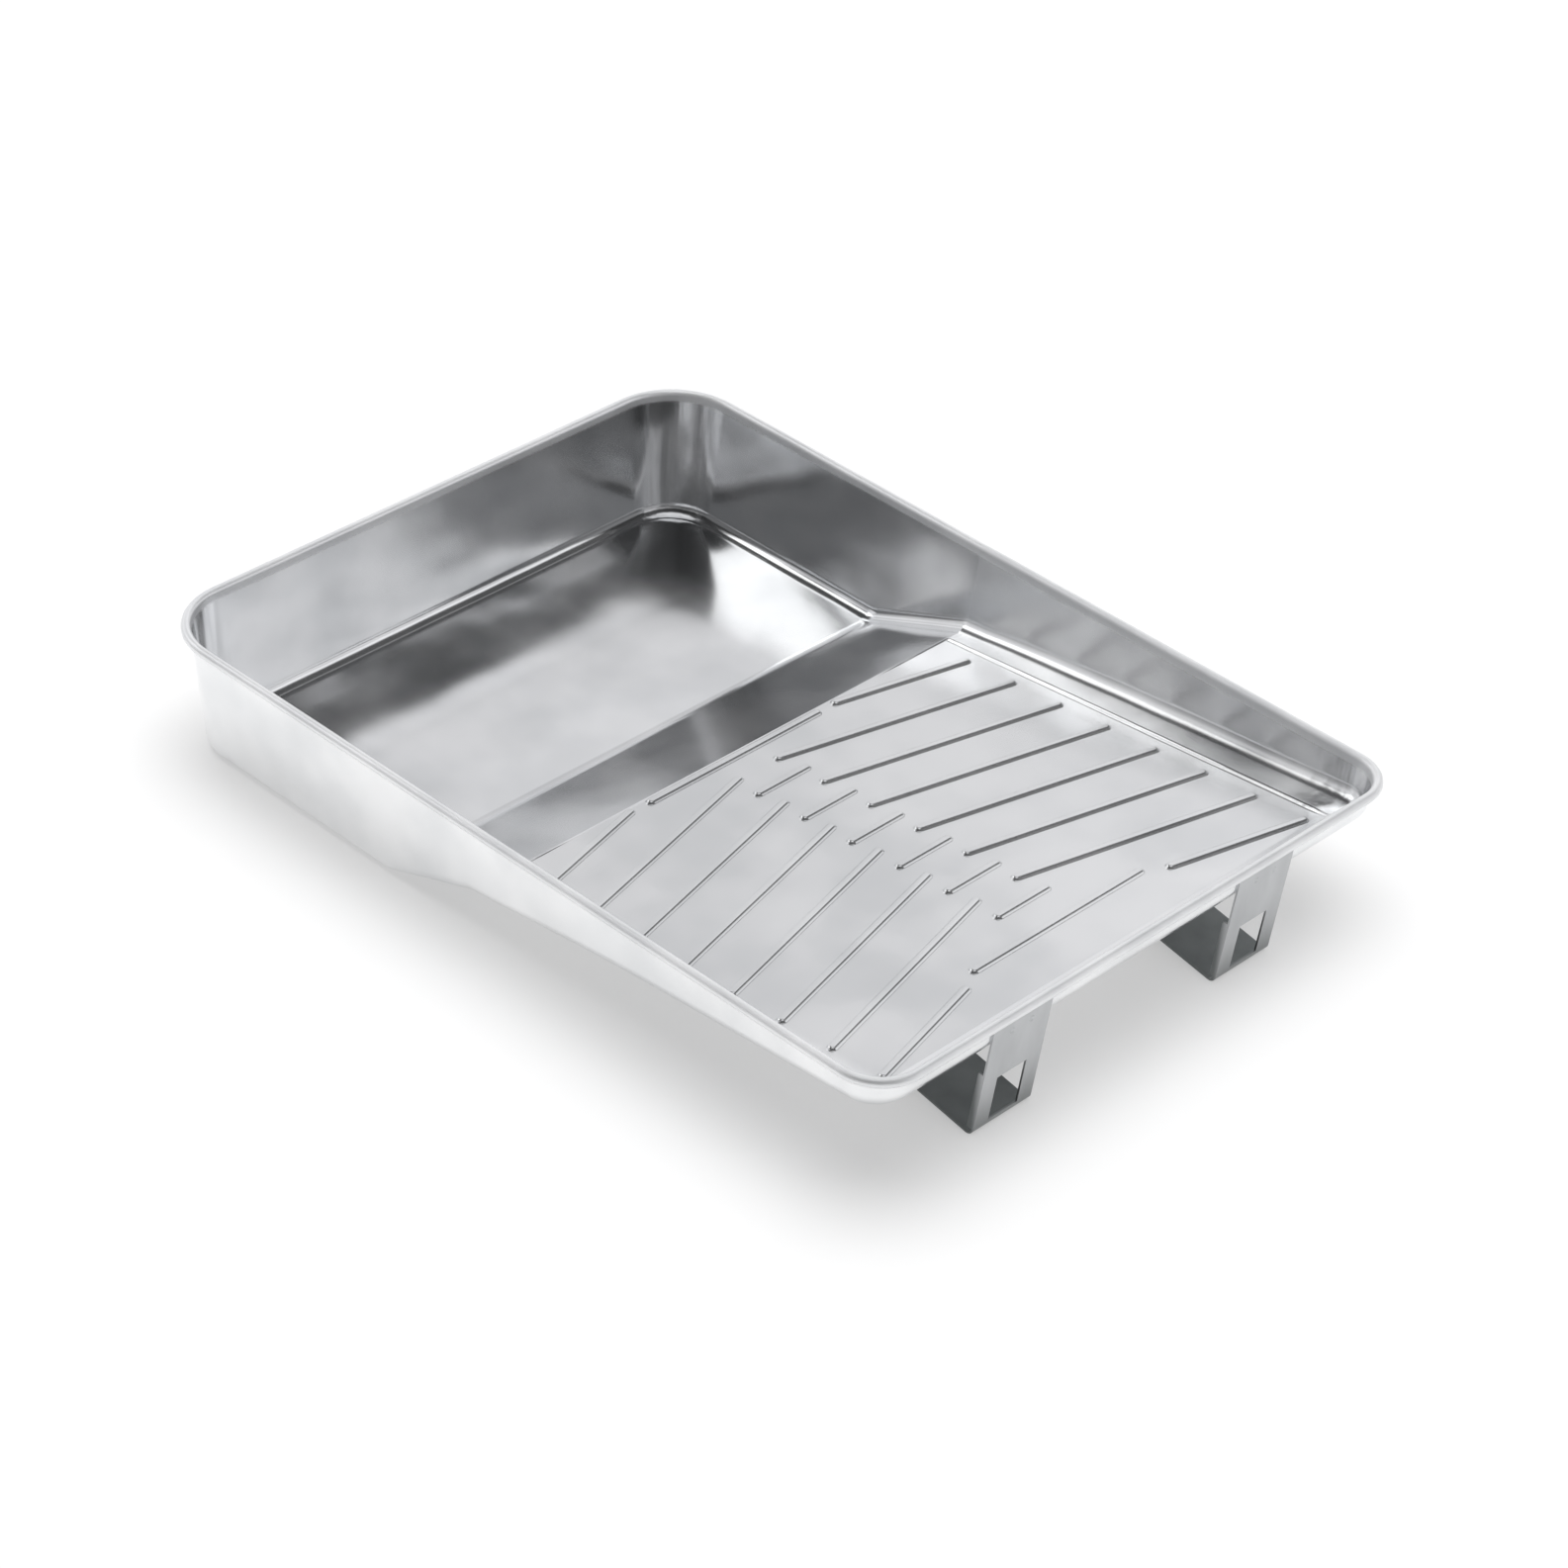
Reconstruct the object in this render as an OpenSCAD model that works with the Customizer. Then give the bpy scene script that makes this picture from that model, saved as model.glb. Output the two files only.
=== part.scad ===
// Paint roller tray: a drawn sheet pan with a deep well and a ribbed ramp, on two clinched strip legs.
// The origin is on the floor under the middle of the tray. +X is right, and -Y is the leg end.

/* [Tray] */
// Overall width across the rolled rim
tray_w = 280; // [240:1:320]
// Overall length along the ramp
tray_l = 382; // [350:1:420]
// Height of the rim above the floor
rim_h = 55; // [50:1:70]
// Thickness of the drawn sheet
sheet_t = 0.6; // [0.5:0.1:1]
// Lean of the walls away from upright, in degrees
draft = 6.5; // [4:0.5:9]
// Rim corner radius at the well end
back_corner_r = 32; // [28:1:40]
// Rim corner radius at the leg end
front_corner_r = 20; // [18:1:26]

/* [Rim] */
// Outside diameter of the rolled rim
bead_d = 4; // [3.6:0.2:6]

/* [Well and ramp] */
// Distance of the floor's front crease ahead of the tray's middle
floor_edge_y = 65; // [55:1:75]
// Distance of the ramp's back crease ahead of the tray's middle
ramp_edge_y = 18; // [10:1:25]
// Height of the ramp's back crease
ramp_edge_z = 17.8; // [14:0.2:20]
// Height of the ramp where it meets the front wall
ramp_front_z = 36.4; // [32:0.2:38]
// Half width of the ramp's flat middle
ramp_half_w = 120; // [105:1:122]
// Rise of the ramp's border where it meets the walls
border_rise = 3.4; // [2:0.2:4]

/* [Ribs] */
// Distance between two rows of ribs
rib_pitch = 24; // [20:1:26]
// Angle of the outer ribs to the tray's width, in degrees
rib_angle = 14.5; // [8:0.5:16]
// Height of a rib above the ramp
rib_h = 1.3; // [0.8:0.1:1.6]
// Width of a rib
rib_w = 5; // [4:0.2:6]
// Half length of the short ribs in the middle
short_rib = 12.5; // [8:0.5:16]

/* [Legs] */
// Width of a leg strip
leg_w = 30; // [24:1:40]
// Distance of a leg's middle from the tray's middle
leg_x = 65; // [50:1:90]
// Thickness of a leg strip
leg_t = 0.8; // [0.8:0.1:1.2]
// Outside radius of the foot bend
foot_r = 3; // [2:0.5:4]
// Slope of the return plate, in degrees
return_slope = 10.5; // [4:0.5:12]
// Length of the return plate
return_l = 42; // [30:1:50]
// Width of the punched window
window_w = 15; // [8:1:18]
// Height of the punched window
window_h = 20; // [12:1:22]
// Depth of the side flanges
flange_d = 2.2; // [1.5:0.1:3]

/* [Hidden] */
$fn = 64;

// Walls
bead_r = bead_d / 2;
wall_top_z = rim_h - bead_r;
wall_inset = bead_d - sheet_t;
wall_slope = tan(draft);
curl_gap = 0.3;
curl_overlap = 0.3;
half_w = tray_w / 2;
half_l = tray_l / 2;
over = 1;
// The corner cones stay this much inside the flat walls, so that the two never just touch
corner_slack = 0.01;

// Ramp, as a plane that falls from the front wall to its back crease
ramp_run = half_l - wall_inset + ramp_edge_y;
ramp_slope = atan((ramp_front_z - ramp_edge_z) / ramp_run);
border_w = half_w - ramp_half_w;
border_slope = border_rise / (border_w - wall_inset - sheet_t);
border_start = 2;
front_border_w = 11;

// Ribs, in rows counted from the well
rib_inner_x = 10;
rib_outer_x = 112;
short_row_x = 54;
full_rows = 6;
first_rib_y = 8;
middle_drop = 10;
back_row_drop = 10.5;
front_row_drop = 5;
rib_r = (pow(rib_w / 2, 2) + pow(rib_h, 2)) / (2 * rib_h);

// Legs
leg_top_z = rim_h - bead_d - 0.4;
foot_y = -half_l + wall_inset + (wall_top_z - foot_r) * wall_slope + (foot_r - leg_t) / cos(draft);
// The two plates run this far into the bend between them
bend_overlap = 0.05;
window_z = 4;
flange_top_z = 28.5;
dent_r = 2.2;
dent_depth = 0.45;
dent_x = 5;
dent_z = 44.7;
notch_x = 11;
notch_w = 2.6;
notch_h = 1.4;
return_corner_r = 4;

function ramp_z(y) = ramp_edge_z + (ramp_edge_y - y) * tan(ramp_slope);

// Body with drafted walls and round corners, moved in from the pan's outer face by inset
module drafted_body(inset) {
    top_z = wall_top_z + (inset > 0 ? over : 0);
    drop = top_z * wall_slope;
    extra = (top_z - wall_top_z) * wall_slope;
    x = half_w - wall_inset - inset + extra;
    y = half_l - wall_inset - inset + extra;
    back_r = back_corner_r - wall_inset - inset + extra;
    front_r = front_corner_r - wall_inset - inset + extra;
    section_x = [[-x, top_z], [x, top_z], [x - drop, 0], [drop - x, 0]];
    section_back = [[0, 0], [0, top_z], [y, top_z], [y - drop, 0]];
    section_front = [[0, 0], [drop - y, 0], [-y, top_z], [0, top_z]];
    translate([0, y - back_r, 0])
        rotate([90, 0, 0]) linear_extrude(2 * y - back_r - front_r) polygon(section_x);
    along_x(2 * (x - back_r)) polygon(section_back);
    along_x(2 * (x - front_r)) polygon(section_front);
    for (side = [-1, 1]) {
        translate([side * (x - back_r), y - back_r, 0])
            cylinder(h = top_z, r1 = back_r - drop - corner_slack, r2 = back_r - corner_slack);
        translate([side * (x - front_r), front_r - y, 0])
            cylinder(h = top_z, r1 = front_r - drop - corner_slack, r2 = front_r - corner_slack);
    }
}

// A (y, z) outline drawn out along X, centred on the tray's middle
module along_x(length) {
    translate([-length / 2, 0, 0])
        rotate([90, 0, 90]) linear_extrude(length) children();
}

// Everything above the floor, the slope and the ramp, with all of them moved up by lift
module above_floor(lift) {
    far = tray_l;
    along_x(tray_w) polygon([
        [far, lift],
        [floor_edge_y, lift],
        [ramp_edge_y, ramp_edge_z + lift],
        [-far, ramp_z(-far) + lift],
        [-far, tray_w],
        [far, tray_w]
    ]);
}

// What lies under one side border of the ramp, which climbs from the ramp's flat middle to the wall
module under_side_border(side, lift) {
    translate([0, ramp_edge_y, ramp_edge_z + lift])
        rotate([-ramp_slope, 0, 0])
            translate([0, lift - border_start, 0])
                rotate([90, 0, 0]) linear_extrude(tray_l) polygon([
                    [side * (ramp_half_w - over), -over * border_slope],
                    [side * (half_w + over), (border_w + over) * border_slope],
                    [side * (half_w + over), -rim_h],
                    [side * (ramp_half_w - over), -rim_h]
                ]);
}

// What lies under the front border of the ramp
module under_front_border(lift) {
    wall_y = wall_inset - half_l;
    inner_y = wall_y + front_border_w;
    climb = (ramp_front_z + border_rise - ramp_z(inner_y)) / front_border_w;
    along_x(tray_w) polygon([
        [inner_y + over, -over],
        [inner_y + over, ramp_z(inner_y) + lift - over * climb],
        [wall_y - over, ramp_z(inner_y) + lift + (front_border_w + over) * climb],
        [wall_y - over, -over]
    ]);
}

// The pan's outer form, or with an inset the space inside it
module pan_form(inset) {
    difference() {
        intersection() {
            drafted_body(inset);
            above_floor(inset);
        }
        for (side = [-1, 1]) under_side_border(side, inset);
        under_front_border(inset);
    }
}

// Section of the rolled rim around its own centre, with +X towards the tray's middle
module rim_section() {
    difference() {
        circle(bead_r, $fn = 32);
        circle(bead_r - sheet_t, $fn = 32);
        translate([curl_gap, -bead_d]) square([bead_d, bead_d - curl_overlap]);
    }
}

// One straight stretch of the rim, along X, with the tray on its +Y side
module rim_straight(length) {
    translate([-length / 2, 0, 0]) rotate([90, 0, 90]) linear_extrude(length) rim_section();
}

// One corner of the rim, with its turning centre at the origin, in the quarter beyond +X and +Y
module rim_corner(corner_r) {
    rotate_extrude(angle = 90) translate([corner_r - bead_r, 0]) mirror([1, 0]) rim_section();
}

module rolled_rim() {
    x = half_w - bead_r;
    y = half_l - bead_r;
    side_l = tray_l - back_corner_r - front_corner_r;
    side_y = (front_corner_r - back_corner_r) / 2;
    translate([0, 0, wall_top_z]) {
        translate([0, -y, 0]) rim_straight(tray_w - 2 * front_corner_r);
        translate([0, y, 0]) rotate(180) rim_straight(tray_w - 2 * back_corner_r);
        translate([x, side_y, 0]) rotate(90) rim_straight(side_l);
        translate([-x, side_y, 0]) rotate(-90) rim_straight(side_l);
        for (turn = [0, 90])
            translate([(turn == 0 ? 1 : -1) * (half_w - back_corner_r), half_l - back_corner_r, 0])
                rotate(turn) rim_corner(back_corner_r);
        for (turn = [180, 270])
            translate([(turn == 270 ? 1 : -1) * (half_w - front_corner_r), front_corner_r - half_l, 0])
                rotate(turn) rim_corner(front_corner_r);
    }
}

// One rib with round ends from a to b, each an (x, y) place in the plane of the ramp
module rib(a, b) {
    reach = b - a;
    translate([a[0], a[1], rib_h - rib_r])
        rotate([0, 90, atan2(reach[1], reach[0])])
            rotate_extrude() intersection() {
                union() {
                    square([rib_r, norm(reach)]);
                    circle(rib_r);
                    translate([0, norm(reach)]) circle(rib_r);
                }
                translate([0, -rib_r]) square([rib_r, norm(reach) + 2 * rib_r]);
            }
}

// The rows of ribs, in the plane of the ramp with its back crease at y = 0
module rib_rows() {
    fall = tan(rib_angle);
    for (row = [0:full_rows + 1]) {
        y = first_rib_y - row * rib_pitch;
        short_row = row == 0 || row > full_rows;
        start_x = short_row ? short_row_x : rib_inner_x;
        start_y = y - (start_x - rib_inner_x) * fall;
        stop_y = y - (rib_outer_x - rib_inner_x) * fall;
        for (side = [-1, 1])
            rib([side * start_x, start_y], [side * rib_outer_x, stop_y]);
        half = short_row ? short_row_x - rib_inner_x : short_rib;
        middle_y = y - (row == 0 ? back_row_drop : row > full_rows ? front_row_drop : middle_drop);
        rib([-half, middle_y], [half, middle_y]);
    }
}

module ribs() {
    translate([0, ramp_edge_y, ramp_edge_z + sheet_t])
        rotate([-ramp_slope, 0, 0])
            intersection() {
                rib_rows();
                translate([-half_w, -tray_l, -sheet_t / 2]) cube([tray_w, 2 * tray_l, rib_h + over]);
            }
}

module tray_pan() {
    color("gainsboro") union() {
        difference() {
            pan_form(0);
            pan_form(sheet_t);
        }
        rolled_rim();
        ribs();
    }
}

// Side view of the strip around the centre of its foot bend, with +X towards the well
module leg_outline() {
    rise = (leg_top_z - foot_r) / cos(draft);
    rotate(draft) translate([-foot_r, -bend_overlap]) square([leg_t, rise + bend_overlap]);
    rotate(return_slope) translate([-bend_overlap, -foot_r]) square([return_l + bend_overlap, leg_t]);
    intersection() {
        difference() {
            circle(foot_r);
            circle(foot_r - leg_t);
        }
        polygon([
            [0, 0],
            2 * foot_r * [-cos(draft), -sin(draft)],
            2 * foot_r * [-1, -1],
            2 * foot_r * [0, -1],
            2 * foot_r * [sin(return_slope), -cos(return_slope)]
        ]);
    }
}

// Places what is drawn on the front plate: +X across, +Y up the plate, +Z out of its front face
module on_front_plate(z) {
    rotate([draft, 0, 0])
        translate([0, -foot_r, (z - foot_r) / cos(draft)])
            rotate([90, 0, 0]) children();
}

// Everything punched out of one leg
module leg_cuts() {
    on_front_plate(window_z)
        translate([-window_w / 2, 0, -2 * leg_t]) cube([window_w, window_h, 4 * leg_t]);
    for (side = [-1, 1]) {
        on_front_plate(dent_z) translate([side * dent_x, 0, dent_r - dent_depth]) sphere(dent_r);
        on_front_plate(leg_top_z - notch_h)
            translate([side * notch_x - notch_w / 2, 0, -2 * leg_t])
                cube([notch_w, 2 * notch_h, 4 * leg_t]);
        return_corner(side);
    }
}

// One flange along the side of the front plate
module side_flange(side) {
    on_front_plate(foot_r)
        translate([side * (leg_w - leg_t) / 2 - leg_t / 2, 0, -leg_t - flange_d])
            cube([leg_t, flange_top_z - foot_r, flange_d + leg_t / 2]);
}

// One whole leg around the centre of its foot bend
module leg_strip() {
    union() {
        difference() {
            along_x(leg_w) leg_outline();
            leg_cuts();
        }
        side_flange(-1);
        side_flange(1);
    }
}

// The sliver cut from one corner at the free end of the return plate
module return_corner(side) {
    rotate([return_slope, 0, 0])
        translate([side * (leg_w / 2 - return_corner_r), return_l - return_corner_r, -2 * foot_r])
            difference() {
                translate([side > 0 ? 0 : -2 * return_corner_r, 0, 0])
                    cube([2 * return_corner_r, 2 * return_corner_r, 3 * foot_r]);
                cylinder(h = 4 * foot_r, r = return_corner_r);
            }
}

module left_leg() {
    color("silver") translate([-leg_x, foot_y, foot_r]) leg_strip();
}

module right_leg() {
    color("silver") translate([leg_x, foot_y, foot_r]) leg_strip();
}

tray_pan();
left_leg();
right_leg();
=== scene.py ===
"""A drawn tin tray for a paint roller: a deep well, a ribbed ramp and a rolled rim, on two strip legs."""
import math
import bmesh
import bpy
from mathutils import Matrix, Vector


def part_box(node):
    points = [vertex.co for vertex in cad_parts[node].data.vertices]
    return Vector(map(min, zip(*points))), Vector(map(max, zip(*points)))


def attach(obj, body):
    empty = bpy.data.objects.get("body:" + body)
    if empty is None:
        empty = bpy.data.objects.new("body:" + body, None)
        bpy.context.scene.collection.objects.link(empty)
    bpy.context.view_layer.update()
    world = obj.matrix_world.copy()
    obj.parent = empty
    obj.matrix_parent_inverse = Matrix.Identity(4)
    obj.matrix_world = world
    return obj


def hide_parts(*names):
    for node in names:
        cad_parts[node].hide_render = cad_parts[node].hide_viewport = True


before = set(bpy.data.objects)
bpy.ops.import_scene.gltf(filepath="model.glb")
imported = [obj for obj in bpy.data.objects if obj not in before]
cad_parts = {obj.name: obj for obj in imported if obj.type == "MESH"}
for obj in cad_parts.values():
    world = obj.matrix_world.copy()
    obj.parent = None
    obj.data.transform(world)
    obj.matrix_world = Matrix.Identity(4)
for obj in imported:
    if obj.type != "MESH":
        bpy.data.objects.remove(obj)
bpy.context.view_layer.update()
pan_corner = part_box("tray_pan")[1]

# Sizes in metres. The overall ones come from the frame.
MM = 0.001
HALF_WIDTH = pan_corner.x
HALF_LENGTH = pan_corner.y
RIM_TOP = pan_corner.z
LEG_FRONT_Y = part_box("left_leg")[0].y
SHEET = 0.6 * MM

# How near counts as the same place, and the reach of the last weld
NEAR = 0.02 * MM
WELD = NEAR / 4

# How far up a face looks, from 0 for an upright face to 1 for a level one
STEEP = 0.3
LEVEL = 0.7

# Faces that meet at less than this angle look like one smooth surface
SMOOTH_BELOW = math.radians(40)

# Rolled rim and walls
BEAD_RADIUS = 2 * MM
CURL_SLACK = 0.02 * MM
CURL_RADIUS = BEAD_RADIUS - SHEET - CURL_SLACK
CURL_POINTS = 16
CORNER_STEPS = 16
RIM_Z = RIM_TOP - BEAD_RADIUS
WALL_LEAN = math.tan(math.radians(6.5))
BACK_CORNER = 32 * MM
FRONT_CORNER = 20 * MM

# Floor, slope and ramp
FLOOR_EDGE_Y = 65 * MM
RAMP_EDGE_Y = 18 * MM
RAMP_EDGE_Z = 17.8 * MM
RAMP_FRONT_Z = 36.4 * MM
RAMP_RISE = (RAMP_FRONT_Z - RAMP_EDGE_Z) / (HALF_LENGTH - 2 * BEAD_RADIUS + SHEET + RAMP_EDGE_Y)
RAMP_TILT = math.atan(RAMP_RISE)
RAMP_HALF_WIDTH = HALF_WIDTH - FRONT_CORNER
RAMP_FRONT_Y = FRONT_CORNER - HALF_LENGTH
FLOOR_SOFTENING = 3 * MM
RAMP_SOFTENING = 0.5 * MM
RIBBED_BACK_Y = RAMP_EDGE_Y - 0.9 * RAMP_SOFTENING
BORDER_RISE = 3.4 * MM
BORDER_START = 8 * MM
BORDER_RUN = 85 * MM
STATION_PITCH = 12 * MM
FOOT_BEVEL = 5.5 * MM
FOOT_STEPS = 8

# Ribs
RIB_INNER_X = 10.9 * MM
RIB_OUTER_X = 112.2 * MM
RIB_FIRST_Y = 2.5 * MM
RIB_PITCH = 24 * MM
RIB_FALL = math.tan(math.radians(14.5))
RIB_ROWS = 6
RIB_HALF_WIDTH = 2.3 * MM
RIB_FLANK = 0.68 * RIB_HALF_WIDTH
RIB_HEIGHT = 1.15 * MM
RIB_RINGS = 6
RIB_POINTS = 22
SHORT_ROW_X = 55 * MM
SHORT_RIB_X = 12.5 * MM
LONG_MIDDLE_X = 44 * MM
MIDDLE_DROP = 12.4 * MM
BACK_ROW_Y = 15 * MM
FRONT_ROW_Y = -147 * MM


def ramp_z(y):
    """Height of the ramp's flat at a place along the tray."""
    return RAMP_EDGE_Z + (RAMP_EDGE_Y - y) * RAMP_RISE


def deselect_all():
    for piece in bpy.context.selected_objects:
        piece.select_set(False)


def pick(kind, test):
    """Selects only the vertices, edges or faces of the open piece that pass the test."""
    bpy.ops.mesh.select_mode(type=kind)
    bpy.ops.mesh.select_all(action="DESELECT")
    shape = bmesh.from_edit_mesh(bpy.context.object.data)
    items = {"VERT": shape.verts, "EDGE": shape.edges, "FACE": shape.faces}[kind]
    for item in items:
        if test(item):
            item.select_set(True)
    bmesh.update_edit_mesh(bpy.context.object.data)


def extrude(x, y, z):
    bpy.ops.mesh.extrude_region_move(TRANSFORM_OT_translate={"value": (x, y, z)})


def middle(edge):
    return (edge.verts[0].co + edge.verts[1].co) / 2


def on_ramp(point):
    return abs(point.z - ramp_z(point.y)) < NEAR and point.y < RAMP_EDGE_Y + NEAR


def on_slope(point):
    share = (FLOOR_EDGE_Y - point.y) / (FLOOR_EDGE_Y - RAMP_EDGE_Y)
    return -NEAR < share < 1 + NEAR and abs(point.z - share * RAMP_EDGE_Z) < NEAR


def add_profile():
    """The rim's curl and the wall below it, as one open line at the middle of the front side."""
    middle_y = BEAD_RADIUS - HALF_LENGTH
    bpy.ops.mesh.primitive_circle_add(
        vertices=CURL_POINTS, radius=CURL_RADIUS, location=(0, middle_y, RIM_Z),
        rotation=(math.pi / 2, 0, math.pi / 2))
    bpy.ops.object.transform_apply()
    bpy.ops.object.mode_set(mode="EDIT")
    step = math.tau / CURL_POINTS
    gap = Vector((0, middle_y + CURL_RADIUS * math.cos(step), RIM_Z - CURL_RADIUS * math.sin(step)))
    pick("VERT", lambda v: (v.co - gap).length < NEAR)
    bpy.ops.mesh.delete(type="VERT")
    top_of_wall = Vector((0, middle_y + CURL_RADIUS, RIM_Z))
    pick("VERT", lambda v: (v.co - top_of_wall).length < NEAR)
    extrude(0, RIM_Z * WALL_LEAN, -RIM_Z)


def sweep_round():
    """Takes the profile round the tray: straight along each side, and turned about each corner's middle."""
    front_x = HALF_WIDTH - FRONT_CORNER
    back_x = HALF_WIDTH - BACK_CORNER
    front_y = FRONT_CORNER - HALF_LENGTH
    back_y = HALF_LENGTH - BACK_CORNER
    runs = [
        ((front_x, 0), (front_x, front_y)),
        ((0, back_y - front_y), (back_x, back_y)),
        ((-2 * back_x, 0), (-back_x, back_y)),
        ((0, front_y - back_y), (-front_x, front_y)),
    ]
    bpy.ops.mesh.select_all(action="SELECT")
    for (along_x, along_y), (turn_x, turn_y) in runs:
        extrude(along_x, along_y, 0)
        bpy.ops.mesh.spin(steps=CORNER_STEPS, angle=-math.pi / 2, center=(turn_x, turn_y, 0), axis=(0, 0, 1))
    extrude(front_x, 0, 0)
    bpy.ops.mesh.select_all(action="SELECT")
    bpy.ops.mesh.remove_doubles(threshold=NEAR)


def bottom_z(y):
    """Height of the floor, the slope or the ramp under a place."""
    if y < RAMP_EDGE_Y:
        return ramp_z(y)
    return RAMP_EDGE_Z * max(0, FLOOR_EDGE_Y - y) / (FLOOR_EDGE_Y - RAMP_EDGE_Y)


def is_below_bottom(face):
    centre = face.calc_center_median()
    return centre.z < bottom_z(centre.y)


def trim_walls():
    """Cuts the walls off along the slope and the ramp."""
    bpy.ops.mesh.select_all(action="SELECT")
    bpy.ops.mesh.bisect(plane_co=(0, RAMP_EDGE_Y, 0), plane_no=(0, 1, 0))
    pick("FACE", lambda f: f.calc_center_median().y > RAMP_EDGE_Y)
    bpy.ops.mesh.bisect(
        plane_co=(0, FLOOR_EDGE_Y, 0), plane_no=(0, RAMP_EDGE_Z, FLOOR_EDGE_Y - RAMP_EDGE_Y))
    pick("FACE", lambda f: f.calc_center_median().y < RAMP_EDGE_Y)
    bpy.ops.mesh.bisect(plane_co=(0, RAMP_EDGE_Y, RAMP_EDGE_Z), plane_no=(0, RAMP_RISE, 1))
    pick("FACE", is_below_bottom)
    bpy.ops.mesh.delete(type="FACE")
    bpy.ops.mesh.select_all(action="SELECT")
    bpy.ops.mesh.remove_doubles(threshold=NEAR)


def close_bottom():
    """Floor, slope and ramp, each one flat face between the feet of the walls."""
    pick("VERT", lambda v: abs(v.co.z) < NEAR)
    bpy.ops.mesh.edge_face_add()
    pick("VERT", lambda v: on_slope(v.co))
    bpy.ops.mesh.edge_face_add()
    pick("VERT", lambda v: on_ramp(v.co))
    bpy.ops.mesh.edge_face_add()


def soften_crease(y, z, offset, steps):
    """Rounds one crease across the bottom, once the wall edges over its ends are out of the way."""
    pick("EDGE", lambda e: abs(middle(e).y - y) < NEAR and abs(middle(e).x) > RAMP_HALF_WIDTH
         and z + NEAR < middle(e).z < RIM_Z - NEAR)
    bpy.ops.mesh.dissolve_edges(use_verts=False)
    pick("EDGE", lambda e: (middle(e) - Vector((0, y, z))).length < NEAR)
    bpy.ops.mesh.bevel(offset=offset, segments=steps, affect="EDGES", clamp_overlap=False)


def rise_of_border(y):
    """How far the wall's foot stands above the flat of the ramp."""
    share = (RAMP_EDGE_Y - y - BORDER_START) / BORDER_RUN
    return BORDER_RISE * math.sin(math.pi / 2 * min(1, max(0, share)))


def fan_corners():
    """Splits the ramp's front corners into narrow faces about the corners' middles."""
    for side in (-1, 1):
        centre = Vector((side * RAMP_HALF_WIDTH, RAMP_FRONT_Y, ramp_z(RAMP_FRONT_Y)))
        shape = bmesh.from_edit_mesh(bpy.context.object.data)
        feet = [v.co.copy() for v in shape.verts if on_ramp(v.co) and v.co.y < RAMP_FRONT_Y - NEAR
                and side * v.co.x > RAMP_HALF_WIDTH + NEAR]
        for foot in feet:
            pick("VERT", lambda v: (v.co - foot).length < NEAR or (v.co - centre).length < NEAR)
            bpy.ops.mesh.vert_connect()


def twist_borders():
    """Lifts the ramp's border where it meets the walls, by nothing at the crease and fully further on."""
    stations = int((RAMP_EDGE_Y - RAMP_FRONT_Y) / STATION_PITCH)
    for station in range(1, stations + 1):
        bpy.ops.mesh.select_all(action="SELECT")
        bpy.ops.mesh.bisect(plane_co=(0, RAMP_EDGE_Y - station * STATION_PITCH, 0), plane_no=(0, 1, 0))
    for side in (-1, 1):
        pick("FACE", lambda f: on_ramp(f.calc_center_median()))
        bpy.ops.mesh.bisect(plane_co=(side * RAMP_HALF_WIDTH, 0, 0), plane_no=(1, 0, 0))
    pick("FACE", lambda f: on_ramp(f.calc_center_median()))
    bpy.ops.mesh.bisect(plane_co=(0, RAMP_FRONT_Y, 0), plane_no=(0, 1, 0))
    fan_corners()
    shape = bmesh.from_edit_mesh(bpy.context.object.data)
    for vertex in shape.verts:
        x, y = vertex.co.xy
        outside = abs(x) > RAMP_HALF_WIDTH + NEAR or y < RAMP_FRONT_Y - NEAR
        if outside and on_ramp(vertex.co) and y < RAMP_EDGE_Y - NEAR:
            inner_x = max(-RAMP_HALF_WIDTH, min(RAMP_HALF_WIDTH, x))
            outward = Vector((x - inner_x, min(0, y - RAMP_FRONT_Y), 0)).normalized()
            rise = rise_of_border(y)
            vertex.co += outward * rise * WALL_LEAN + Vector((0, 0, rise))
    bmesh.update_edit_mesh(bpy.context.object.data)


def is_foot(edge):
    """Whether an edge lies between a wall and the floor, the slope or the ramp."""
    if len(edge.link_faces) != 2:
        return False
    steepness = sorted(abs(face.normal.z) for face in edge.link_faces)
    return steepness[0] < STEEP and steepness[1] > LEVEL and middle(edge).z < RIM_Z - BEAD_RADIUS


def round_foot():
    bpy.ops.mesh.select_all(action="SELECT")
    bpy.ops.mesh.normals_make_consistent(inside=False)
    pick("EDGE", is_foot)
    bpy.ops.mesh.bevel(offset=FOOT_BEVEL, segments=FOOT_STEPS, affect="EDGES", clamp_overlap=False)


def on_ramp_middle(point):
    return (on_ramp(point) and abs(point.x) < RAMP_HALF_WIDTH + NEAR
            and RAMP_FRONT_Y - NEAR < point.y < RIBBED_BACK_Y)


def rib_ends():
    """The two ends of every rib, as (x, y) places on the ramp."""
    ribs = []
    for row in range(RIB_ROWS + 2):
        y = RIB_FIRST_Y - (row - 1) * RIB_PITCH
        short = row in (0, RIB_ROWS + 1)
        start = SHORT_ROW_X if short else RIB_INNER_X
        start_y = y - (start - RIB_INNER_X) * RIB_FALL
        stop_y = y - (RIB_OUTER_X - RIB_INNER_X) * RIB_FALL
        for side in (-1, 1):
            ribs.append(((side * start, start_y), (side * RIB_OUTER_X, stop_y)))
        half = LONG_MIDDLE_X if short else SHORT_RIB_X
        middle_y = {0: BACK_ROW_Y, RIB_ROWS + 1: FRONT_ROW_Y}.get(row, y - MIDDLE_DROP)
        ribs.append(((-half, middle_y), (half, middle_y)))
    return ribs


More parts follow.
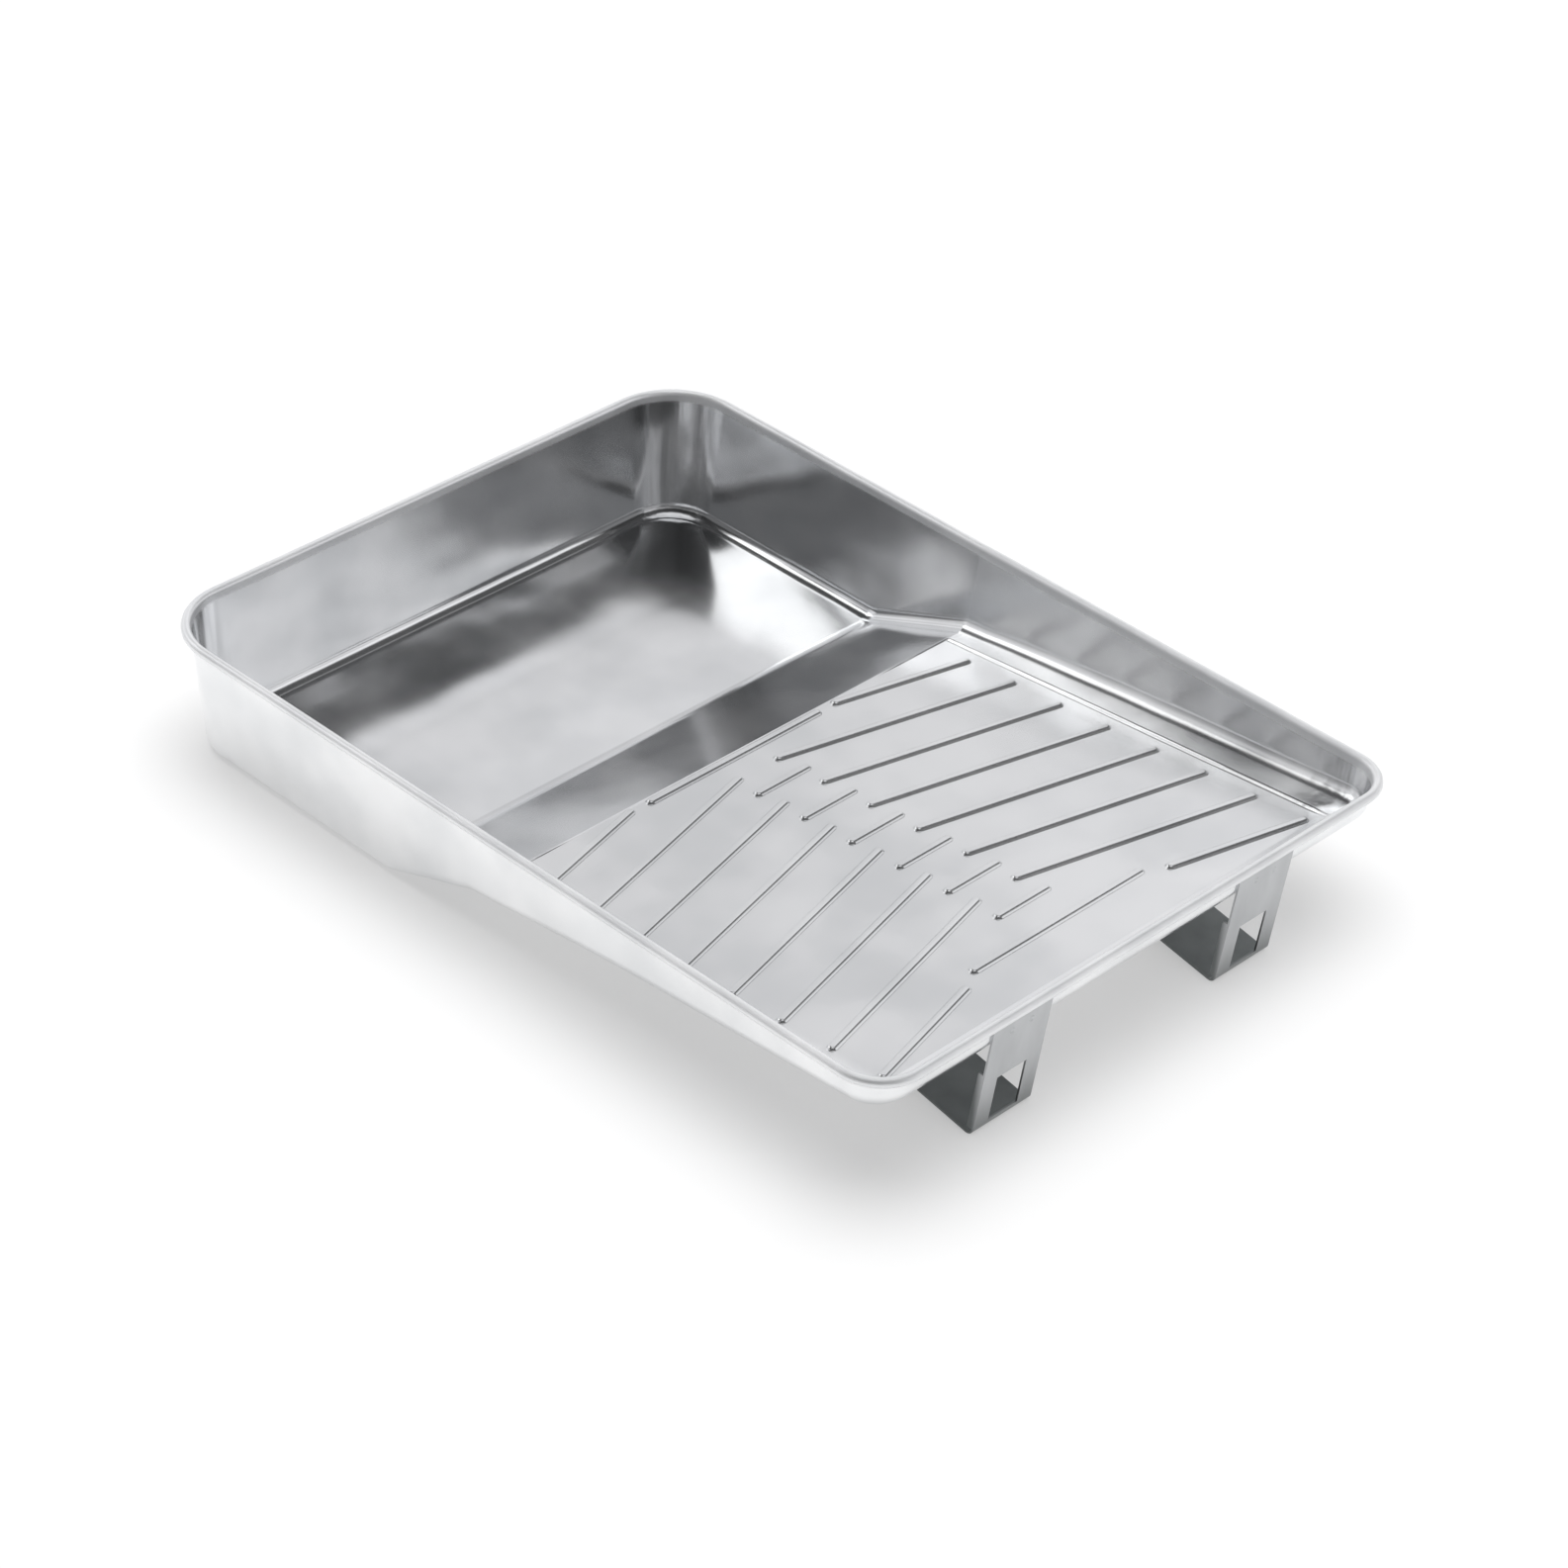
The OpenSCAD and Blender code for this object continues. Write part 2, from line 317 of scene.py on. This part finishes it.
def add_rib(start, stop):
    """One flat face with round ends on the ramp, where a rib will stand."""
    start = Vector((*start, ramp_z(start[1])))
    stop = Vector((*stop, ramp_z(stop[1])))
    along = (stop - start).normalized()
    up = Vector((0, math.sin(RAMP_TILT), math.cos(RAMP_TILT)))
    turn = Matrix((along, up.cross(along), up)).transposed()
    bpy.ops.mesh.primitive_circle_add(
        vertices=RIB_POINTS, radius=RIB_HALF_WIDTH, fill_type="NGON", location=start,
        rotation=turn.to_euler())
    shape = bmesh.from_edit_mesh(bpy.context.object.data)
    for vertex in [v for v in shape.verts if v.select and (v.co - start).dot(along) > 0]:
        vertex.co += stop - start
    bmesh.update_edit_mesh(bpy.context.object.data)


def press_ribs():
    """Opens the flat of the ramp, sets the ribs in it and closes it again round them."""
    pick("FACE", lambda f: on_ramp_middle(f.calc_center_median()) and abs(f.normal.z) > LEVEL
         and abs(f.calc_center_median().x) < RAMP_HALF_WIDTH)
    bpy.ops.mesh.delete(type="FACE")
    for start, stop in rib_ends():
        add_rib(start, stop)
    pick("FACE", lambda f: len(f.verts) == RIB_POINTS and on_ramp_middle(f.calc_center_median()))
    for ring in range(RIB_RINGS):
        climb = (math.cos(math.pi * ring / RIB_RINGS) - math.cos(math.pi * (ring + 1) / RIB_RINGS)) / 2
        bpy.ops.mesh.inset(
            thickness=RIB_FLANK / RIB_RINGS, depth=RIB_HEIGHT * climb, use_individual=True,
            use_even_offset=True)
    pick("EDGE", lambda e: e.is_boundary and on_ramp_middle(e.verts[0].co) and on_ramp_middle(e.verts[1].co))
    bpy.ops.mesh.fill(use_beauty=True)


def add_modifier(piece, kind, **settings):
    modifier = piece.modifiers.new(kind.title(), kind)
    for name, value in settings.items():
        setattr(modifier, name, value)
    bpy.ops.object.modifier_apply(modifier=modifier.name)


def face_outwards():
    """Turns every face the same way, with the floor's facing down."""
    bpy.ops.mesh.select_all(action="SELECT")
    bpy.ops.mesh.normals_make_consistent(inside=False)
    shape = bmesh.from_edit_mesh(bpy.context.object.data)
    floor = max(shape.faces, key=lambda face: face.calc_area())
    if floor.normal.z > 0:
        bpy.ops.mesh.flip_normals()


def make_pan():
    """The whole pan from one sheet: rim and walls first, then the bottom, its creases and its ribs."""
    deselect_all()
    add_profile()
    sweep_round()
    trim_walls()
    close_bottom()
    soften_crease(FLOOR_EDGE_Y, 0, offset=FLOOR_SOFTENING, steps=3)
    soften_crease(RAMP_EDGE_Y, RAMP_EDGE_Z, offset=RAMP_SOFTENING, steps=2)
    twist_borders()
    round_foot()
    press_ribs()
    bpy.ops.mesh.select_all(action="SELECT")
    bpy.ops.mesh.remove_doubles(threshold=WELD)
    face_outwards()
    bpy.ops.object.mode_set(mode="OBJECT")
    pan = bpy.context.object
    pan.name = "drawn_pan"
    add_modifier(pan, "SOLIDIFY", thickness=SHEET, offset=-1, use_even_offset=True)
    bpy.ops.object.shade_smooth_by_angle(angle=SMOOTH_BELOW)
    add_modifier(pan, "WEIGHTED_NORMAL", keep_sharp=True, weight=100)
    return pan


class Link:
    """One output of a shader node. Arithmetic on it adds Math nodes."""

    def __init__(self, nodes, socket):
        self.nodes = nodes
        self.socket = socket

    def maths(self, operation, *values):
        return self.nodes.node("Math", {"operation": operation}, *values)

    def __add__(self, other):
        return self.maths("ADD", self, other)

    def __radd__(self, other):
        return self.maths("ADD", other, self)

    def __sub__(self, other):
        return self.maths("SUBTRACT", self, other)

    def __rsub__(self, other):
        return self.maths("SUBTRACT", other, self)

    def __mul__(self, other):
        return self.maths("MULTIPLY", self, other)

    def __rmul__(self, other):
        return self.maths("MULTIPLY", other, self)


class Nodes:
    """The shader nodes of a material or of the studio's surroundings."""

    def __init__(self, tree, surface):
        self.tree = tree
        self.surface = surface

    def node(self, kind, settings, *values, output=0, **named):
        """Adds a node, makes its settings, then fills its inputs in order or by name.

        An input that is given None is left alone.
        """
        made = self.tree.nodes.new("ShaderNode" + kind)
        for name, value in settings.items():
            setattr(made, name, value)
        inputs = [*enumerate(values), *((name.replace("_", " "), value) for name, value in named.items())]
        for socket, value in inputs:
            if value is not None:
                self.feed(made.inputs[socket], value)
        return Link(self, made.outputs[output])

    def feed(self, socket, value):
        if isinstance(value, Link):
            self.tree.links.new(value.socket, socket)
        else:
            socket.default_value = value

    def set(self, socket, value):
        self.feed(self.surface.inputs[socket], value)

    def noise(self, place, scale, detail):
        return self.node("TexNoise", {}, Vector=place, Scale=scale, Detail=detail)

    def step(self, value, low, high, start=0.0, stop=1.0):
        """As value goes from low to high, the result goes smoothly from start to stop."""
        return self.node("MapRange", {"interpolation_type": "SMOOTHSTEP"}, value, low, high, start, stop)

    def blend(self, share, first, second):
        """The first colour where share is 0 and the second where it is 1."""
        not_colours = [None] * 5
        return self.node("Mix", {"data_type": "RGBA"}, share, *not_colours, first, second, output=2)

    def size_of(self, value):
        """The value without its sign."""
        return self.node("Math", {"operation": "ABSOLUTE"}, value)

    def axes(self, place):
        """How far a place lies across, along and up."""
        return [self.node("SeparateXYZ", {}, place, output=name) for name in "XYZ"]


class Finish(Nodes):
    """A material in the making, with its constants set on the surface shader."""

    def __init__(self, name, **constants):
        self.material = bpy.data.materials.new(name)
        self.material.use_nodes = True
        tree = self.material.node_tree
        super().__init__(tree, tree.nodes["Principled BSDF"])
        for socket, value in constants.items():
            self.set(socket.replace("_", " "), value)
        self.place = self.node("TexCoord", {}, output="Object")

    def stretched(self, x, y, z):
        """Object coordinates in which a pattern is x, y and z times as fine along each axis."""
        return self.node("Mapping", {}, Vector=self.place, Scale=(x, y, z))

    def bump(self, height, depth, under=None):
        return self.node("Bump", {}, Height=height, Distance=depth, Strength=1.0, Normal=under)


# Where the tin's finish changes, each from the place where it starts to the place where it is full
RAMP_BACK = (RAMP_EDGE_Y, RAMP_EDGE_Y - MM)
RAMP_SIDE = (RAMP_HALF_WIDTH + 2 * MM, RAMP_HALF_WIDTH - MM)
RAMP_SURFACE = (5 * MM, 2.5 * MM)
RIM_FOOT = (RIM_Z - BEAD_RADIUS - MM, RIM_Z - BEAD_RADIUS + MM)
CALM_X = (120 * MM, 80 * MM)
CALM_Y = (165 * MM, 125 * MM)
CORNER_X = (95 * MM, 125 * MM)
CORNER_Y = (145 * MM, 175 * MM)

# Tin: its colours, how rough it is and what is added to that, and how deep its waves are
CLOUDED_TIN = (0.80, 0.81, 0.82, 1)
CLEAR_TIN = (0.93, 0.935, 0.94, 1)
TIN_ROUGHNESS = 0.11
RAMP_ROUGHENING = 0.07
RIM_ROUGHENING = 0.25
CLOUD_ROUGHENING = 0.05
STREAK_ROUGHENING = 0.03
RIM_TARNISH = 0.24
RAMP_TARNISH = 0.04
CALMING = 0.8
WAVE_DEPTH = 2.5 * MM
DRAWING_DEPTH = 0.25 * MM


def tinplate():
    """Bright drawn tin: mirror-like on walls and floor, satin on the ramp and duller along the rim."""
    finish = Finish("bright_tinplate")
    cloud = finish.step(finish.noise(finish.place, scale=22.0, detail=2.5), low=0.3, high=0.7)
    streaks = finish.noise(finish.stretched(6.0, 0.4, 1.0), scale=60.0, detail=3.0)
    across, along, height = finish.axes(finish.place)
    from_middle = finish.size_of(across)
    above_ramp = height - RAMP_EDGE_Z + (along - RAMP_EDGE_Y) * RAMP_RISE
    ahead_of_crease = finish.step(along, *RAMP_BACK)
    on_the_ramp = (ahead_of_crease * finish.step(above_ramp, *RAMP_SURFACE)
                   * finish.step(from_middle, *RAMP_SIDE))
    on_the_rim = finish.step(height, *RIM_FOOT)
    finish.set("Base Color", finish.blend(cloud, CLOUDED_TIN, CLEAR_TIN))
    finish.set("Metallic", 1 - RIM_TARNISH * on_the_rim - RAMP_TARNISH * on_the_ramp)
    worn = CLOUD_ROUGHENING * cloud + STREAK_ROUGHENING * streaks
    finish.set("Roughness", TIN_ROUGHNESS + RAMP_ROUGHENING * ahead_of_crease
               + RIM_ROUGHENING * on_the_rim + worn)
    calm = finish.step(from_middle, *CALM_X) * finish.step(along, *CALM_Y)
    lively = 1 - CALMING * calm
    waves = finish.noise(finish.place, scale=14.0, detail=1.5) * lively * (1 - on_the_ramp)
    waves = finish.bump(waves, WAVE_DEPTH)
    in_corners = finish.step(from_middle, *CORNER_X) * finish.step(finish.size_of(along), *CORNER_Y)
    drawn = finish.noise(finish.stretched(1.0, 1.0, 0.06), scale=170.0, detail=2.0) * in_corners
    finish.set("Normal", finish.bump(drawn, DRAWING_DEPTH, under=waves))
    return finish.material


# Leg steel: its colours, with painted shade on the plate behind the window, where that plate starts, and its
# surface
DARK_PLATING = (0.40, 0.41, 0.42, 1)
PALE_PLATING = (0.62, 0.63, 0.64, 1)
# Painted shade: darker copies of the same steel, for the plate behind the window, which lies in shade under
# the tray
DARK_PAINTED_SHADE_STEEL = (0.12, 0.13, 0.13, 1)
PALE_PAINTED_SHADE_STEEL = (0.20, 0.21, 0.21, 1)
BEHIND_WINDOW = (LEG_FRONT_Y + 3 * MM, LEG_FRONT_Y + 7 * MM)
LEG_ROUGHNESS = 0.25
LEG_CLOUD_ROUGHENING = 0.12
LEG_GRAIN_DEPTH = 0.004 * MM


def leg_steel():
    """Satin plated strip steel, with painted shade darkening the plate behind the window."""
    finish = Finish("leg_steel", Metallic=1.0)
    cloud = finish.noise(finish.stretched(1.0, 1.0, 0.3), scale=90.0, detail=3.0)
    behind = finish.step(finish.axes(finish.place)[1], *BEHIND_WINDOW)
    plated = finish.blend(cloud, DARK_PLATING, PALE_PLATING)
    # Painted shade: the plate behind the window is the same steel, painted darker because it lies in shade
    # under the tray
    painted_shade = finish.blend(cloud, DARK_PAINTED_SHADE_STEEL, PALE_PAINTED_SHADE_STEEL)
    finish.set("Base Color", finish.blend(behind, plated, painted_shade))
    finish.set("Roughness", LEG_ROUGHNESS + LEG_CLOUD_ROUGHENING * cloud)
    grain = finish.noise(finish.place, scale=700.0, detail=2.0)
    finish.set("Normal", finish.bump(grain, LEG_GRAIN_DEPTH))
    return finish.material


# Studio floor
FLOOR_SIZE = 12.0
PAPER_GREY = (0.35, 0.35, 0.35, 1)
WHITE = (1, 1, 1, 1)


def floor_paper():
    """White studio paper with a little light of its own, so that shadows on it stay soft."""
    finish = Finish("floor_paper", Roughness=0.9, Emission_Strength=0.44)
    finish.set("Base Color", PAPER_GREY)
    finish.set("Emission Color", WHITE)
    return finish.material


# The studio's zones, by how far a direction points across, along and up, each from -1 to 1.
# Each pair goes from where the zone starts to where it is full.
HORIZON = (-0.02, 0.2)
WALLS_BELOW = (0.67, 0.60)
WALLS_LEFT_OF = (1.35, 1.25)
CEILING_BELOW = (0.97, 0.91)
CLEAR_SIDE_ALONG = (0.0, 0.3)
CLEAR_SIDE_ACROSS = (0.42, 0.5)
FAR_LEFT_ALONG = (0.5, 0.65)
FAR_LEFT_ACROSS = (0.2, -0.3)
NEAR_RIGHT_ALONG = (-0.4, -0.65)
NEAR_RIGHT_ACROSS = (0.2, 0.5)
GLOW_SPREAD = (-0.62, 0.55)
PATCH_SPREAD = (0.35, 0.65)

# Which way the main glow lies
GLOW_ACROSS = 0.75
GLOW_ALONG = 0.25
GLOW_UP = 0.35

# How bright the studio is, as shares of white
HORIZON_GLOW = (0.25, 1.0)
STUDIO_GLOW = (0.14, 0.86)
FAR_LEFT_GLOW = 0.8
NEAR_RIGHT_GLOW = 0.35
BRIGHTEST = 0.82
CEILING_DARKNESS = 0.9
PATCH_GLOW = (0.75, 1.2)
BLACK = (0, 0, 0, 1)
STUDIO_WHITE = (1.0, 1.0, 1.02, 1)


def studio_surroundings():
    """A studio that is pale beyond the tray and on its right, with a dark ceiling round an open zenith."""
    world = bpy.data.worlds.new("studio")
    world.use_nodes = True
    nodes = Nodes(world.node_tree, world.node_tree.nodes["Background"])
    place = nodes.node("TexCoord", {}, output="Generated")
    across, along, height = nodes.axes(place)
    towards_glow = GLOW_ACROSS * across + GLOW_ALONG * along + GLOW_UP * height
    above_floor = nodes.step(height, *HORIZON, *HORIZON_GLOW)
    overhead = 1 - nodes.step(height, *WALLS_BELOW) * nodes.step(across + height, *WALLS_LEFT_OF)
    overhead = overhead * nodes.step(height, *CEILING_BELOW)
    clear_side = nodes.step(along, *CLEAR_SIDE_ALONG) * nodes.step(across, *CLEAR_SIDE_ACROSS)
    below_ceiling = 1 - CEILING_DARKNESS * overhead * (1 - clear_side)
    far_left = nodes.step(along, *FAR_LEFT_ALONG) * nodes.step(across, *FAR_LEFT_ACROSS)
    near_right = nodes.step(along, *NEAR_RIGHT_ALONG) * nodes.step(across, *NEAR_RIGHT_ACROSS)
    patches = nodes.step(nodes.noise(place, scale=4.5, detail=1.5), *PATCH_SPREAD, *PATCH_GLOW)
    glow = (nodes.step(towards_glow, *GLOW_SPREAD, *STUDIO_GLOW)
            + FAR_LEFT_GLOW * far_left + NEAR_RIGHT_GLOW * near_right)
    glow = nodes.node("Math", {"operation": "MINIMUM"}, glow, BRIGHTEST)
    glow = glow * above_floor * below_ceiling * patches
    nodes.set("Color", nodes.blend(glow, BLACK, STUDIO_WHITE))
    return world


# The camera, by where it looks and how it is held
AIM = Vector((21.0, 8.3, 0.0)) * MM
AZIMUTH = math.radians(-47.63)
ELEVATION = math.radians(35.274)
ROLL = math.radians(3.78)
DISTANCE = 1786 * MM
LENS = 107.5
SENSOR = 36.0


def away_from_tray(azimuth, elevation):
    """A direction, by its angle round the tray from the front and its angle above the floor."""
    level = math.cos(elevation)
    return Vector((math.sin(azimuth) * level, -math.cos(azimuth) * level, math.sin(elevation)))


def add_camera():
    back = away_from_tray(AZIMUTH, ELEVATION)
    level = Vector((math.cos(AZIMUTH), math.sin(AZIMUTH), 0))
    above = back.cross(level)
    right = level * math.cos(ROLL) + above * math.sin(ROLL)
    up = above * math.cos(ROLL) - level * math.sin(ROLL)
    data = bpy.data.cameras.new("camera")
    data.lens = LENS
    data.sensor_width = SENSOR
    camera = bpy.data.objects.new("camera", data)
    turn = Matrix((right, up, back)).transposed().to_4x4()
    camera.matrix_world = Matrix.Translation(AIM + back * DISTANCE) @ turn
    bpy.context.scene.collection.objects.link(camera)
    bpy.context.scene.camera = camera


def add_light(name, azimuth, elevation, distance, width, height, power, mirrored=True):
    """A soft box that faces the tray from a compass direction. Unless mirrored, the metal doesn't show it."""
    away = away_from_tray(math.radians(azimuth), math.radians(elevation))
    data = bpy.data.lights.new(name, "AREA")
    data.shape = "RECTANGLE"
    data.size = width
    data.size_y = height
    data.energy = power
    light = bpy.data.objects.new(name, data)
    light.location = away * distance
    light.rotation_euler = away.to_track_quat("Z", "Y").to_euler()
    light.visible_glossy = mirrored
    bpy.context.scene.collection.objects.link(light)


def add_studio():
    deselect_all()
    bpy.ops.mesh.primitive_plane_add(size=FLOOR_SIZE, location=(0, 0, 0))
    floor = bpy.context.object
    floor.name = "studio_floor"
    floor.data.materials.append(floor_paper())
    bpy.context.scene.world = studio_surroundings()
    add_light("key_box", azimuth=130, elevation=83, distance=2.2, width=2.4, height=2.4, power=95,
              mirrored=False)
    add_light("strip_box", azimuth=203, elevation=44, distance=2.2, width=0.75, height=0.7, power=2.3)
    bpy.context.scene.view_settings.view_transform = "Standard"


add_camera()
pan = make_pan()
pan.data.materials.append(tinplate())
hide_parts("tray_pan")
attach(pan, "root")
steel = leg_steel()
for leg in ("left_leg", "right_leg"):
    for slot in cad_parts[leg].material_slots:
        slot.material = steel
add_studio()
